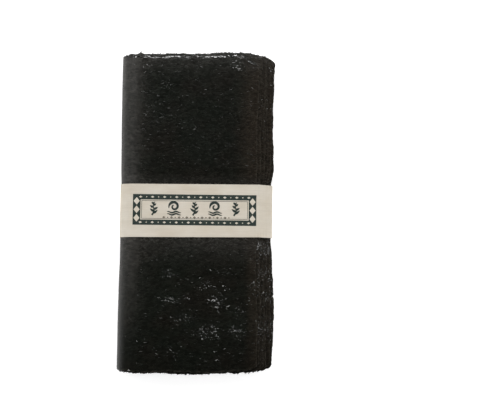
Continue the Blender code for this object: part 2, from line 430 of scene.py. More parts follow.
# Printing ink that sinks a little into the paper, so that its fibres show through as paler specks.
def inkMaterial(name, colour):
    m = nodeTree(bpy.data.materials.new(name))
    fibres = m.noise(m.place, (0.9 * mm, 0.35 * mm, 0.9 * mm), 4, 0.8)
    cloud = m.noise(m.place, (5 * mm, 4 * mm, 5 * mm), 2)
    thin = m.times(m.spread(fibres, 0.52, 0.8), m.spread(cloud, 0.3, 0.7, 0.3, 1.0))
    pale = [0.8 * part + 0.2 * paper for part, paper in zip(colour, paperLook["cream"])][:3] + [1.0]
    m.bump(fibres, paperLook["inkBump"], 0.6)
    rough = m.spread(fibres, 0.3, 0.7, *paperLook["inkRoughness"])
    return m.finish(m.mix(m.times(thin, paperLook["fade"]), colour, pale), rough, paperLook["specular"])


sheetLook = {
    "thickness": 0.23 * mm,
    "rimThickness": 0.13 * mm,
    "thinRim": 1.6 * mm,
    "rimHighlightReach": 0.9 * mm,
    "steps": (  # of the upper leg, the lower leg and the rows, for the outermost sheet and for the others
        (1.15 * mm, 3.6 * mm, 0.52 * mm), (1.7 * mm, 4.5 * mm, 0.9 * mm)),
    "mapShift": 0.4,  # metres from one sheet's map to the next, so that no two look alike
    "wrinkle": (0.11 * mm, 2.5 * mm, 1.6 * mm),  # height, and size of a cell across and along
    "crimp": (0.06 * mm, 2.1 * mm, 1.15 * mm),
    "heave": (0.12 * mm, 24 * mm, 19 * mm),
    "sway": (0.8, 9 * mm, 7 * mm),  # how far the wrinkles wander, in cells, and over what lengths
    "calm": 0.24,  # share of the wrinkles away from the clusters
    "under": 0.3,  # and on the fold and the lower half
    "crumpledEdge": (0.25, 32 * mm, 46 * mm),
    "crumpledEnds": ((0.3, 96 * mm, 103 * mm), (0.45, 96 * mm, 103 * mm)),
    "patch": (0.5, 7 * mm, 4 * mm),
    "clusters": (  # crumpled places: middle X and Y, half widths, in mm, strength, and loose shreds
        (-19, 68, 13, 22, 0.4, 44), (-34, 76, 3, 24, 0.4, 30), (-17, -40, 4.3, 3.2, 0.4, 44),
        (10.5, -49, 6.5, 2.5, 0.5, 70), (14.3, -60, 5.5, 4.1, 0.6, 107), (-15, -58.5, 7.5, 2.2, 0.5, 74),
        (-6, -70, 7, 2.4, 0.5, 74), (7.2, -79, 8, 3.2, 0.6, 120), (26.7, -79, 4.2, 3.5, 0.5, 74),
        (37.6, -49, 2.6, 2.8, 0.6, 46), (41.4, -37.7, 2.6, 2.6, 0.6, 42), (-14, -91, 9, 4, 0.3, 35),
        (13, -94, 8, 5, 0.3, 35), (42, -75, 3, 9, 0.4, 93), (44, -24, 3, 5, 0.5, 70),
        (22, -40, 9, 3, 0.3, 55), (-20, 84, 5, 2, 0.5, 14), (25, 97.5, 3.4, 2.6, 0.6, 44),
        (34.4, 103.4, 2.6, 0.7, 0.3, 30), (-36, -84, 7, 9, 0.6, 29), (27, -63, 7, 6, 0.3, 35),
        (2, -46, 9, 5, 0.3, 23),
    ),
    "endDeckle": ((0.70 * mm, 3.1 * mm), (0.45 * mm, 1.4 * mm)),  # height and length of the ragged rims
    "edgeDeckle": ((0.38 * mm, 6.0 * mm), (0.18 * mm, 1.8 * mm)),
    "deckleReach": 5 * mm,
    "nick": (0.8 * mm, -54.8 * mm, 0.6 * mm),  # a small tear in the open edges: depth, place, half width
    "droop": ((0.45 * mm, 24 * mm), (0.30 * mm, 13 * mm)),  # depth and reach at both ends
    "turnedDown": (0.34 * mm, 1.7 * mm, 4 * mm),  # depth, reach and patch size, on the outermost far end
    "turnedDownX": (26 * mm, 34 * mm),  # where it fades out
    "edgeSag": (0.35 * mm, 3.5 * mm),  # depth and reach at the upper open edges
    "curl": (0.28 * mm, 4.6 * mm, 34.2 * mm, 3.4 * mm),  # lifted lip: height, reach, place, half length
    "wornAndSheenAcross": (  # mm across the bundle, and how pale the fold is there, by rub wear and painted sheen of the light from the left, most at the nose
        (-51, 0.25), (-50.3, 0.36), (-49.6, 0.9), (-48.8, 0.9), (-47.6, 0.5), (-46.5, 0.44), (-45, 0.6),
        (-41, 0.54), (-37.6, 0.38), (-36.4, 0.25), (-31, 0.08), (-24, 0)),
    "wornAndSheenAlong": (
        (-105, 0), (-90, 0.08), (-75, 0.28), (-55, 0.68), (-25, 1), (55, 1), (80, 1.05), (105, 1.08)),
    "paled": ((0.56, 24 * mm), (0.40, 9 * mm)),  # on the band's near and far side: share and reach
    "paledEnd": (0.41, 26 * mm),
    "matteFold": (1, 34 * mm, 48 * mm),  # how dull the fold is, left of the middle
    "matteNear": (-0.5, 30 * mm, 85 * mm),  # and its change towards the near end
    "thinReach": (2 * mm, 9 * mm, 17 * mm),  # start, and reach in the near and in the far half
    "thinAlong": ((-105, 0.6), (-60, 0.75), (-30, 0.85), (0, 0.9), (40, 1.05), (105, 1.05)),
    "nearShade": (0.18, 62 * mm, 100 * mm),  # the near end is darker
}


# Each sheet's chance shifts, phases and tone, in the order in which its solid drew them.
def drawSheets():
    draw = random.Random(stack["seed"])
    sheets = []
    for number in range(stack["sheets"]):
        radius = stack["pitch"] * (stack["sheets"] - number - 0.5)
        edgeShift = draw.uniform(-stack["edgeShift"], stack["edgeShift"])
        sheets.append({
            "number": number,
            "radius": radius,
            "upperLeg": (stack["width"] - math.pi * radius) / 2 + edgeShift,
            "endShift": draw.uniform(-stack["endShift"], stack["endShift"]),
            "endPhase": [draw.uniform(0, 2 * math.pi) for _ in range(2)],
            "edgePhase": draw.uniform(0, 2 * math.pi),
            "tone": draw.uniform(0.9, 1.1)})
    return sheets


# Two octaves of noise along a rim, each with its own height and length.
def ragged(along, seed, deckle):
    total = 0
    for octave, (height, length) in enumerate(sheetLook[deckle]):
        total = total + height * slopeNoise(along / length, 0.37 + octave, seed + octave)
    return total


# How crumpled the upper face is, from 0 to 1: a hump exp(-d^2) at each cluster, and more at both ends
# and towards the open edges, in patches.
def crumpled(x, y):
    total = sheetLook["calm"] + rising(x, sheetLook["crumpledEdge"])
    for end, sizes in zip((-1, 1), sheetLook["crumpledEnds"]):
        total = total + rising(end * y, sizes)
    for middleX, middleY, halfX, halfY, strength, _ in sheetLook["clusters"]:
        away = ((x / mm - middleX) / halfX) ** 2 + ((y / mm - middleY) / halfY) ** 2
        total = total + strength * np.exp(-away)
    return np.clip(total * (0.8 + clouds(sheetLook["patch"], x, y, 77)), 0, 1) * (1 - pinch(y))


# The upper leg's x at distance s, and as well its s at x.
def onLeg(sheet, value):
    return stack["foldX"] + sheet["upperLeg"] - value + shiftX


# Relief of a sheet at distance s round it and y along it: ridges 0.55 - 2|noise| and finer noise over them,
# both as high as the sheet is crumpled there, a slow heave, and a sag t^2 of the upper open edge.
def relief(sheet, s, y):
    seed = 100 + 10 * sheet["number"]
    free = 1 - pinch(y)
    sway = clouds(sheetLook["sway"], s, y, seed + 1)
    x = onLeg(sheet, s)
    patch = np.where(x > stack["creaseX"], crumpled(x, y), sheetLook["under"] * free)
    height, cellS, cellY = sheetLook["wrinkle"]
    ridge = abs(slopeNoise(s / cellS + sway, y / cellY + sway, seed + 3))
    wrinkle = height * patch * (0.55 - 2 * ridge)
    height, cellS, cellY = sheetLook["crimp"]
    crimp = height * patch * slopeNoise(s / cellS - sway, y / cellY, seed + 4)
    heave = clouds(sheetLook["heave"], s, y, seed + 5) * (0.18 + 0.82 * free)
    depth, reach = sheetLook["edgeSag"]
    return wrinkle + crimp + heave - depth * ramp(-s, -reach, 0) ** 2 * free


# A sheet at distance s from its upper open edge, measured round the fold, and at row y along it. The leg
# runs straight to the fold, a half circle turns it under, and the lower leg runs back. Near an end the rows
# slide to its outline: a quarter ellipse at the open corners, less at the fold, a waver and the ragged rim.
def sheetPoint(sheet, s, y):
    number, radius, upperLeg = sheet["number"], sheet["radius"], sheet["upperLeg"]
    seed = 500 + 10 * number
    turn = np.clip((s - upperLeg) / radius, 0, math.pi)
    past = np.maximum(s - upperLeg - math.pi * radius, 0)
    x = stack["foldX"] - radius * np.sin(turn) + np.maximum(upperLeg - s, 0) + past
    z = stack["middleZ"] + radius * np.cos(turn)
    fromEdge = np.minimum(s, stack["width"] - s)
    nearEdge = ramp(-fromEdge, -stack["cornerReach"], 0)
    depth, start = stack["nearFoldEnd"]
    foldEnds = (depth * ramp(-x, start, -stack["noseX"]) ** 1.2,
                stack["farFoldEnd"][min(number, 1)] * towardNose(x) ** 2)
    height, length = stack["endWaver"]
    slide = 0
    for side, end in enumerate((-1, 1)):
        inset = stack["cornerDepth"][side] * (1 - np.sqrt(1 - nearEdge ** 2)) + foldEnds[side]
        waver = height * np.sin(2 * math.pi * x / length + sheet["endPhase"][side])
        rim = ragged(s, seed + 2 * end, "endDeckle")
        move = end * (rising(x, stack["slant"][side]) - inset) + sheet["endShift"] + waver + rim
        if number:
            move = move - end * stack["trim"][side]
        elif end == 1:
            step = rising(x, stack["stepSetback"]) * (z > stack["middleZ"])
            move = move - stack["topSetback"] - step
        slide = slide + move * nearEnd(y, stack["slideReach"], end)
    y = y + slide
    free = 1 - pinch(y)
    height, length = stack["edgeWaver"]
    waver = height * np.sin(2 * math.pi * y / length + sheet["edgePhase"])
    x = x + (waver + stack["edgeOut"]) * nearEdge * free
    upper = s < stack["width"] / 2
    fray = np.where(upper, ragged(y, seed + 4, "edgeDeckle"), ragged(y, seed + 6, "edgeDeckle"))
    depth, place, halfWidth = sheetLook["nick"]
    fray = fray - depth * np.exp(-((y - place) / halfWidth) ** 2)
    x = x + fray * ramp(-fromEdge, -sheetLook["deckleReach"], 0) * (0.5 + 0.5 * free)
    x = x - rising(y, stack["foldLean"]) * ramp(-x, 0, -stack["foldX"]) * free
    x = x * (1 + rising(-y, stack["nearSpread"]))
    x, y, z = pressed(x, y, z)
    return stacked(x + shiftX, y, z), fromEdge


# Directions brought to a length of one.
def unit(vectors):
    return vectors / np.linalg.norm(vectors, axis=-1, keepdims=True)


# Stations from the upper open edge round to the lower one: close together at the open edges, even on the
# legs, and at even angles round the fold.
def acrossStations(sheet, legStep, lowerStep):
    edge = np.array([0, 0.35, 0.8, 1.5, 2.4, 3.5, 4.8]) * mm
    foldEnd = sheet["upperLeg"] + math.pi * sheet["radius"]
    upper = np.arange(edge[-1] + legStep, sheet["upperLeg"] - 0.3 * legStep, legStep)
    turns = max(9, int(math.pi * sheet["radius"] / legStep))
    fold = np.linspace(sheet["upperLeg"], foldEnd, turns)
    lower = np.arange(foldEnd + lowerStep, stack["width"] - edge[-1] - 0.3 * lowerStep, lowerStep)
    return np.concatenate([edge, upper, fold, lower, stack["width"] - edge[::-1]])


# Rows from one end to the other: close together at the ends, even between, wide apart under the band.
def alongStations(step, hiddenStep=3 * mm):
    end = halfLength - np.array([0, 0.3, 0.7, 1.2, 1.8]) * mm
    hidden = band["width"] / 2 - 1.5 * mm
    low, high = band["middleY"] - hidden, band["middleY"] + hidden
    free = [np.arange(-end[-1] + step, low, step), np.arange(high, end[-1] - 0.3 * step, step)]
    return np.concatenate([-end, free[0], np.arange(low, high, hiddenStep), free[1], end[::-1]])


# Sag of the ends, where the outward direction is up: t^2 towards an end, less for the inner sheets. The
# outermost sheet's far end is also turned down in patches, by t^1.5, and has a lifted lip sin(pi t^1.3).
def endBend(sheet, x, y, outward):
    bend = 0
    for end, (depth, reach) in zip((-1, 1), sheetLook["droop"]):
        bend = bend - depth * nearEnd(y, reach, end) ** 2
    bend = bend * (sheet["radius"] / sheets[0]["radius"]) ** 0.25
    if sheet["number"] == 0:
        depth, reach, patch = sheetLook["turnedDown"]
        share = np.clip(0.5 + 1.5 * slopeNoise(x / patch, 0.3, 51), 0, 1.1)
        share = share * (1 - eased(x, *sheetLook["turnedDownX"]))
        bend = bend - depth * share * nearEnd(y, reach) ** 1.5
        height, reach, place, length = sheetLook["curl"]
        lip = np.sin(math.pi * nearEnd(y, reach) ** 1.3)
        bend = bend + height * np.exp(-((x - place) / length) ** 2) * lip
    return bend * np.clip(outward[..., 2], 0, 1)


# A table's value at a place, by straight lines between its rows.
def readOff(table, place):
    return np.interp(place / mm, *np.array(sheetLook[table]).T)


# The pale share at x and y, rub wear and painted sheen of the light from the left: a profile across the
# fold times one along it, and more beside the band and towards the far end.
def wornAndSheenShare(x, y):
    share = readOff("wornAndSheenAcross", x) * readOff("wornAndSheenAlong", y)
    for side, (paled, reach) in zip((-1, 1), sheetLook["paled"]):
        past = side * (y - band["middleY"]) - band["width"] / 2
        share = share + paled * (1 - ramp(past, 0, reach)) ** 1.6 * (past > -2 * mm)
    paled, reach = sheetLook["paledEnd"]
    share = share + paled * nearEnd(y, reach) ** 2
    return np.clip(share, 0, 1)


# One sheet: its middle surface moved outwards by relief and bend, with half its thickness to each side,
# thinner at the rims. Its lowest face stays off the floor.
def addSheet(sheet, material):
    number = sheet["number"]
    legStep, lowerStep, rowStep = sheetLook["steps"][min(number, 1)]
    s = acrossStations(sheet, legStep, lowerStep)[:, None]
    y = alongStations(rowStep)[None, :]
    middle, fromEdge = sheetPoint(sheet, s, y)
    outward = unit(np.cross(np.gradient(middle, axis=1), np.gradient(middle, axis=0)))
    x = middle[..., 0] - shiftX
    rise = relief(sheet, s, y) + endBend(sheet, x, y, outward)
    fromRim = np.minimum(fromEdge, halfLength - abs(y))
    least, full = sheetLook["rimThickness"], sheetLook["thickness"]
    thickness = least + (full - least) * ramp(fromRim, 0, sheetLook["thinRim"])
    if number == 0:
        lowest = middle[..., 2] - thickness / 2
        rise = np.where(outward[..., 2] < -0.5, np.minimum(rise, lowest), rise)
    outer = middle + outward * (rise + thickness / 2)[..., None]
    inner = middle + outward * (rise - thickness / 2)[..., None]
    points, faces = skin(outer, inner)
    piece = addPiece(f"nori_{number + 1:02d}", points, faces, material, "nori", f"sheet_{number + 1:02d}")

    start, near, far = sheetLook["thinReach"]
    reach = near + (far - near) * eased(y, -40 * mm, 30 * mm)
    outside = {
        # rub wear with painted sheen over the fold, and paler beside the band and at the far end
        "wearAndSheen": wornAndSheenShare(x, y),
        "matte": rising(-x, sheetLook["matteFold"]) * (1 + rising(-y, sheetLook["matteNear"])),
        # painted highlight near the rims
        "rim": 1 - ramp(fromRim, 0, sheetLook["rimHighlightReach"]),
        # browner single leaf, with a little painted sheen
        "thin": (1 - eased(fromEdge, start, reach)) * readOff("thinAlong", y),
        "crumple": crumpled(middle[..., 0], middle[..., 1]),
        "tone": sheet["tone"] * (1 - rising(-y, sheetLook["nearShade"])),
    }
    looks = {name: np.tile(np.broadcast_to(each, x.shape).ravel(), 2) for name, each in outside.items()}
    looks["wearAndSheen"][x.size:] = 0  # no wear or painted sheen inside
    places = stacked(s + sheetLook["mapShift"] * number, y).reshape(-1, 2)
    addLooks(piece, np.tile(places, (2, 1)), looks)


sheets = drawSheets()
leaf = noriMaterial("pressed_leaf")
for sheet in sheets:
    addSheet(sheet, leaf)
print("nori sheets done")

shredLook = {
    "corners": 8,
    "uneven": (0.72, 1.2),  # how far each corner stands out
    "thickness": 0.018 * mm,
    "dash": ((0.9, 2.6), (0.17, 0.34)),  # lengths and widths in mm
    "endDash": ((1.0, 2.6), (0.45, 0.85)),
    "fleck": ((0.35, 0.75), (0.5, 1.3)),
    "lean": 11 * degree,  # usual turn about the long axis
    "lifted": (20.5 * degree, -48 * degree, 6.5 * degree),  # lean, change a metre, spread
    "veer": 16 * degree,  # usual turn away from the sheet's width
    "loose": (1500, (-45, 38), (-100, 100)),  # shreds over the upper face, and its sides in mm
    "scatter": 0.65,  # of a cluster's shreds, as a share of its half widths
    "share": {"loose": 0.16, "cluster": 0.72, "end": 1.0, "strip": 0.72},  # share that stands up
    "dull": {"loose": (0.25, 0.95), "cluster": (0, 0.12), "end": (0, 0.1), "strip": (0.25, 0.75)},
    "dullFar": (0.6, 20 * mm, 60 * mm),  # more for the far clusters
    "dullStop": 90 * mm,
    "tone": (0.8, 1.3),
    "endRuns": ((-49, -42, 16), (-42, 8, 140), (8, 28, 48), (30, 36.5, 34)),  # from and to in mm, number
    "endInset": (0.2, 1.0),
    "endRaised": 0.10 * mm,
    "strip": (  # middle and reach in mm, number on each sheet
        (-24, 5, 24), (-41, 5, 16), (-54, 6, 10), (-76, 9, 24), (72, 22, 4), (97.5, 1.2, 4)),
    "stripInset": (0.3, 1.6),
    "farthest": (104.5, 103),  # mm from the middle, on the upper face and on the strips
    "gloss": 0.115,
    "evenness": 0.85,
    "seed": 33,
}


# The outer face of a sheet at s and y, with the directions across and along it and outward from it, from
# the differences between places a short step apart.
def sheetFace(sheet, s, y, step=0.4 * mm):
    place = sheetPoint(sheet, s, y)[0]
    across = sheetPoint(sheet, s - step, y)[0] - sheetPoint(sheet, s + step, y)[0]
    along = sheetPoint(sheet, s, y + step)[0] - sheetPoint(sheet, s, y - step)[0]
    outward = unit(np.cross(across, along))
    bend = endBend(sheet, place[..., 0] - shiftX, y, outward)
    rise = relief(sheet, s, y) + bend + sheetLook["thickness"] / 2
    return place + outward * rise[..., None], unit(across), unit(along), outward


# Rows of points turned in their plane, each row by its own angle.
def turned(a, b, angle):
    cos, sin = np.cos(angle)[:, None], np.sin(angle)[:, None]
    return a * cos - b * sin, a * sin + b * cos


# Shreds at many places at once. Each is a lens: a ring of corners on an uneven ellipse, bent up towards its
# tips, with a middle above and one below, turned about its long axis so that one side stands off the sheet.
def shreds(face, draw, lean, veer, length, width):
    place, across, along, outward = face
    count, corners = len(place), shredLook["corners"]
    turn = 2 * math.pi * (np.arange(corners) + 0.5) / corners
    uneven = draw.uniform(*shredLook["uneven"], (count, corners))
    u = np.cos(turn) * uneven * length[:, None] / 2
    v = np.sin(turn) * uneven * width[:, None] / 2
    w = draw.uniform(0, 0.03, (count, 1)) * u ** 2 / length[:, None]
    half = np.full((count, 1), shredLook["thickness"] / 2)
    zero = np.zeros((count, 1))
    u, v = np.hstack([u, zero, zero]), np.hstack([v, zero, zero])
    v, w = turned(v, np.hstack([w, half, -half]), lean)
    u, v = turned(u, v, veer)
    points = place[:, None] + sum(share[..., None] * way[:, None]
                                  for share, way in ((u, across), (v, along), (w, outward)))
    ring = np.arange(corners)
    after = (ring + 1) % corners
    faces = np.concatenate([stacked(ring, after, corners), stacked(after, ring, corners + 1)])
    faces = faces[None] + (np.arange(count) * (corners + 2))[:, None, None]
    return points.reshape(-1, 3), faces.reshape(-1, 3), stacked(u, v)


# One lot of shreds on a sheet at s and y: skin, places on the map, tone and dullness. A share of them stand
# up at the near side, by an angle that mirrors the far tube into the camera. The others lie almost flat.
def layShreds(draw, sheet, s, y, size, kind, raised=0.0):
    count = len(s)
    place, across, along, outward = sheetFace(sheet, s, y)
    lifted, change, spread = shredLook["lifted"]
    stands = draw.uniform(0, 1, count) < shredLook["share"][kind]
    lean = draw.normal(0, 1, count) * np.where(stands, spread, shredLook["lean"])
    lean = lean - (lifted + change * y) * stands
    veer = draw.normal(0, 1, count) * shredLook["veer"]
    length, width = (draw.uniform(low, high, count) * mm for low, high in shredLook[size])
    face = (place + raised * outward, across, along, outward)
    points, faces, local = shreds(face, draw, lean, veer, length, width)
    more = rising(y, shredLook["dullFar"]) * (y < shredLook["dullStop"]) * (kind == "cluster")
    matte = draw.uniform(*shredLook["dull"][kind], count) + more
    tone = draw.uniform(*shredLook["tone"], count)
    places = (stacked(s, y)[:, None] + local).reshape(-1, 2)
    each = shredLook["corners"] + 2
    return (points, faces), places, np.repeat(tone, each), np.repeat(matte, each)


# Skins of shreds made one piece, kept off the floor.
def addLots(name, skins, places, material, looks):
    points, faces = joined(skins)
    points[:, 2] = np.maximum(points[:, 2], 0)
    piece = addPiece(name, points, faces, material, "nori", flat=True)
    addLooks(piece, np.concatenate(places), {look: np.concatenate(each) for look, each in looks.items()})


# Loose shreds: scattered over the upper face and in its clusters, in runs along its far end, and on the
# stepped edges of the sheets below it.
def addShreds(material):
    draw = np.random.RandomState(shredLook["seed"])
    outermost = sheets[0]
    lots = []
    faceEnd, stripEnd = shredLook["farthest"]
    count, sideX, sideY = shredLook["loose"]
    fields = [(draw.uniform(*sideX, count), draw.uniform(*sideY, count), "loose")]
    for middleX, middleY, halfX, halfY, _, count in sheetLook["clusters"]:
        x = middleX + halfX * draw.normal(0, shredLook["scatter"], count)
        y = middleY + halfY * draw.normal(0, shredLook["scatter"], count)
        fields.append((x, y, "cluster"))
    for x, y, kind in fields:
        s = onLeg(outermost, x * mm)
        keep = (pinch(y * mm) < 0.4) & (s > 1 * mm) & (abs(y) < faceEnd)
        lots.append(layShreds(draw, outermost, s[keep], y[keep] * mm, "dash", kind))
    for start, stop, count in shredLook["endRuns"]:
        s = onLeg(outermost, draw.uniform(start, stop, count) * mm)
        y = halfLength - draw.uniform(*shredLook["endInset"], count) * mm
        lots.append(layShreds(draw, outermost, s, y, "endDash", "end", shredLook["endRaised"]))
    for sheet in sheets[1:]:
        for place, reach, count in shredLook["strip"]:
            s = draw.uniform(*shredLook["stripInset"], count) * mm
            y = np.clip(place + reach * draw.normal(0, 0.6, count), -stripEnd, stripEnd) * mm
            lots.append(layShreds(draw, sheet, s, y, "fleck", "strip"))
    skins, places, tones, mattes = zip(*lots)
    addLots("nori_loose_shreds", skins, places, material, {"tone": tones, "matte": mattes})


frayLook = {
    "number": (80, 210),  # bits along an open edge and along an end
    "margin": 4 * mm,
    "veer": (0.35, 0.7),  # usual turn in radians, on an edge and on an end
    "lean": 0.25,
    "length": (0.7, 2.0),  # mm
    "width": (0.3, 0.8),
    "endShift": (-0.45, 0.15),  # mm past the end
    "tone": (0.9, 2.6),
}


# Frayed bits that stick out of the sheets' open edges and ends, a few for each centimetre.
def addFray(material):
    draw = np.random.RandomState(shredLook["seed"] + 1)
    margin = frayLook["margin"]
    parts, maps, tones = [], [], []
    for sheet in sheets:
        for rim in range(4):
            atEnd = rim > 1
            count, spread = frayLook["number"][atEnd], frayLook["veer"][atEnd]
            if atEnd:
                s = draw.uniform(margin, stack["width"] - margin, count)
                y = np.full(count, halfLength if rim == 2 else -halfLength)
            else:
                y = draw.uniform(margin - halfLength, halfLength - margin, count)
                y = y[pinch(y) < 0.9]
                s = np.full(len(y), rim * stack["width"])
            count = len(y)
            veer = draw.normal(0, spread, count) + (0 if atEnd else math.pi / 2)
            face = sheetFace(sheet, np.clip(s, 0.4 * mm, stack["width"] - 0.4 * mm), y)
            length = draw.uniform(*frayLook["length"], count) * mm
            width = draw.uniform(*frayLook["width"], count) * mm
            place = face[0] - face[3] * (sheetLook["thickness"] / 2)
            if atEnd:
                past = draw.uniform(*frayLook["endShift"], count) * mm * np.sign(y)
                place = place + face[2] * past[:, None]
            lean = draw.normal(0, frayLook["lean"], count)
            points, faces, local = shreds((place, *face[1:]), draw, lean, veer, length, width)
            parts.append((points, faces))
            onMap = stacked(s + sheetLook["mapShift"] * sheet["number"], y)
            maps.append((onMap[:, None] + local).reshape(-1, 2))
            tones.append(np.repeat(draw.uniform(*frayLook["tone"], count), shredLook["corners"] + 2))
    addLots("nori_fray", parts, maps, material, {"tone": tones})


glossyLeaf = noriMaterial("glossy_shreds", shredLook["gloss"], shredLook["evenness"])
addShreds(glossyLeaf)
addFray(glossyLeaf)
print("loose and frayed shreds done")


# The taut outline that the band's solid has, as points round it from the overlap underneath, anticlockwise
# as seen from the label's lower edge, evenly spaced and rounded by a running average.
def bandOutline():
    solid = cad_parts["paper_band"].data
    points = np.empty(3 * len(solid.vertices))
    solid.vertices.foreach_get("co", points)
    section = np.unique(points.reshape(-1, 3)[:, [0, 2]].round(7), axis=0)
    corners = section[convex_hull_2d(section.tolist())]
    bottom = corners[:, 1] < corners[:, 1].min() + 0.05 * mm
    start = np.argmax(np.where(bottom, corners[:, 0], -1))
    corners = corners[np.arange(start, start + len(corners) + 1) % len(corners)]
    travelled = np.append(0, np.cumsum(np.linalg.norm(np.diff(corners, axis=0), axis=1)))
    count = int(travelled[-1] / band["step"])
    even = np.arange(count) * travelled[-1] / count
    loop = stacked(*(np.interp(even, travelled, corners[:, axis]) for axis in (0, 1)))
    weights = np.exp(-(np.arange(-4, 5) / 2.0) ** 2)
    weights /= weights.sum()
    return sum(weight * np.roll(loop, shift, axis=0) for weight, shift in zip(weights, range(-4, 5)))


outline = bandOutline()
outlineStep = float(np.mean(np.linalg.norm(np.roll(outline, -1, axis=0) - outline, axis=1)))
outlineLength = outlineStep * len(outline)
stripLength = outlineLength + band["overlap"]


# Place and outward direction on the outline at distance t along it, any number of turns.
def outlinePoint(t):
    t = np.asarray(t, float) / outlineStep
    low = np.floor(t).astype(int)
    share = (t - low)[..., None]
    count = len(outline)
    place = outline[low % count] * (1 - share) + outline[(low + 1) % count] * share
    ahead = outline[(low + 2) % count] - outline[(low - 1) % count]
    return place, unit(stacked(ahead[..., 1], -ahead[..., 0]))


# Relief of the paper: shallow clouds, thin creases exp(-d^2) that stand over the sheets' open edges, and
# edges that lift by t^2.
def bandRelief(t, y):
    place, outward = outlinePoint(t)
    large, small = band["sag"]
    rise = clouds(large, t, y, 901) + clouds(small, t, y, 902)
    wander = clouds(band["creaseWander"], y, 0.5, 903)
    onTop = np.where(outward[..., 1] > 0, 1, 0.6)
    for number, x in enumerate(band["creaseX"]):
        strength = 0.6 + clouds(band["creaseFade"], y, number + 0.3, 904)
        gap = (place[..., 0] - x - wander) / band["creaseWidth"]
        rise = rise + band["creaseDepth"] * strength * np.exp(-gap ** 2) * onTop
    height, reach = band["edgeCurl"]
    lift = height * (0.7 + clouds(band["curlFade"], t, np.sign(y) + 0.5, 905))
    fromEdge = band["width"] / 2 - abs(y - band["middleY"])
    return rise + lift * ramp(-fromEdge, -reach, 0) ** 2 - band["sunk"]


# The slope of the strip's rows across the bundle, from its lower edge's to its upper edge's.
def askew(y):
    high = (y - band["middleY"]) / band["width"] + 0.5
    return band["skew"][0] * (1 - high) + band["skew"][1] * high


# The paper's outer face at distance t along the strip and y across it, and its outward direction. The
# strip's first stretch lies one paper deeper, its last stretch over it, and its edges run a little askew.
def bandPoint(t, y, lift=0.0):
    place, outward = outlinePoint(t)
    depth, reach = band["tucked"]
    tucked = depth * (1 - eased(t, band["overlap"], band["overlap"] + reach))
    height, reach = band["over"]
    over = height * eased(t, outlineLength - reach, outlineLength)
    rise = bandRelief(t, y) - tucked + over + lift
    flat = place + outward * rise[..., None]
    moved = stacked(flat[..., 0], y + askew(y) * place[..., 0], flat[..., 1])
    return moved, stacked(outward[..., 0], 0, outward[..., 1])


# The strip: its outer face, and an inner one a paper's thickness below it.
def addBand(material):
    t = np.linspace(0, stripLength, int(stripLength / band["step"]))[::-1, None]
    half, margin = band["width"] / 2, np.array([0, 0.15, 0.4, 0.8]) * mm
    inside = half - band["edgeCurl"][1]
    rows = [margin - half, np.linspace(-inside, inside, band["rows"]), (half - margin)[::-1]]
    outer, up = bandPoint(t, band["middleY"] + np.concatenate(rows)[None, :])
    points, faces = skin(outer, outer - up * band["paper"])
    points[:, 2] = np.maximum(points[:, 2], 0)
    addPiece("paper_strip", points, faces, material, "band_paper", "paper_band")


addBand(paperMaterial("laid_paper"))
print("band done")

label = {
    "middle": (-1.0 * mm, 0.8 * mm),
    "size": (80.8 * mm, 20.2 * mm),
    "bars": (5.0 * mm, 3.5 * mm),  # at the sides, and above and below
    "keyline": (0.65 * mm, 0.28 * mm),  # gap inside the bars, and width
    "ink": (0.018, 0.029, 0.025, 1.0),
    "paleInk": (0.15, 0.13, 0.10, 1.0),
    "lift": 0.03 * mm,
    "sunk": 0.02 * mm,
    "motifs": 5,
    "motifPitch": 13.4 * mm,
    "motifY": 1.0 * mm,
    "stem": (2.0 * mm, 8.8 * mm, 0.7 * mm),  # of a sprig: lean, height and sway
    "blades": (0.14, 0.28, 0.44, 0.58, 0.74, 0.86),  # places up the stem
    "bladeWidth": 0.78 * mm,
    "curl": (3.5 * mm, 0.8 * mm),  # first and last radius of a wave
    "crest": (4.6 * mm, 0.4 * mm, 5.29),  # half length, height, and ripples in radians
    "crestY": (2.55 * mm, 4.0 * mm),
    "dots": 19,  # small dots and diamonds by turns
    "dot": 0.36 * mm,
    "diamond": (1.1 * mm, 0.7 * mm),  # half length and half height
    "sideDiamond": (2.0 * mm, 2.5 * mm),
    "sidePitch": 5.6 * mm,
    "marks": 9,
    "mark": (1.1 * mm, 0.8 * mm),
    "markPitch": 5.0 * mm,
    "markY": -5.0 * mm,
    "seed": 7,
}

topT = np.arange(0, outlineLength, outlineStep)
topPlace, topOutward = outlinePoint(topT)
facingUp = topOutward[:, 1] > 0.3
topOrder = np.argsort(topPlace[facingUp, 0])
topX, topT = topPlace[facingUp, 0][topOrder], topT[facingUp][topOrder]


# Points of the label's own plane, laid on the band and raised by lift.
def onLabel(across, up, lift):
    x = label["middle"][0] + across
    y = label["middle"][1] + up
    return bandPoint(np.interp(x, topX, topT), y - askew(y) * x, lift)[0]


# A thin printed field: a grid of places on the label, its face raised and its back sunk into the paper.
def printed(across, up, layer=1, ring=False):
    across, up = np.broadcast_arrays(across, up)
    face = onLabel(across, up, label["lift"] * layer)
    back = onLabel(across, up, -label["sunk"])
    return skin(face, back, ring)


# A brush stroke: a line of points, and at right angles to it a half width to both sides of each.
def stroke(across, up, halfWidth, layer=1):
    alongA, alongU = np.gradient(across), np.gradient(up)
    length = np.hypot(alongA, alongU)
    sides = np.linspace(1, -1, 5)[None, :] * np.maximum(halfWidth, 0.02 * mm)[:, None]
    return printed(across[:, None] - sides * (alongU / length)[:, None],
                   up[:, None] + sides * (alongA / length)[:, None], layer)


# A round or drawn-out dot: a short stroke whose half width is that of an ellipse.
def dot(across, up, radius, stretch=1.0, layer=2):
    t = np.sin(np.linspace(-math.pi / 2, math.pi / 2, 11))
    return stroke(across + radius * stretch * t, np.full(t.size, up), radius * np.sqrt(1 - t * t), layer)


# A diamond: the same, with a half width that falls straight from the middle.
def diamond(across, up, halfSize, layer=2):
    t = np.linspace(-1, 1, 9)
    return stroke(across + halfSize[0] * t, np.full(t.size, up), halfSize[1] * (1 - abs(t)), layer)


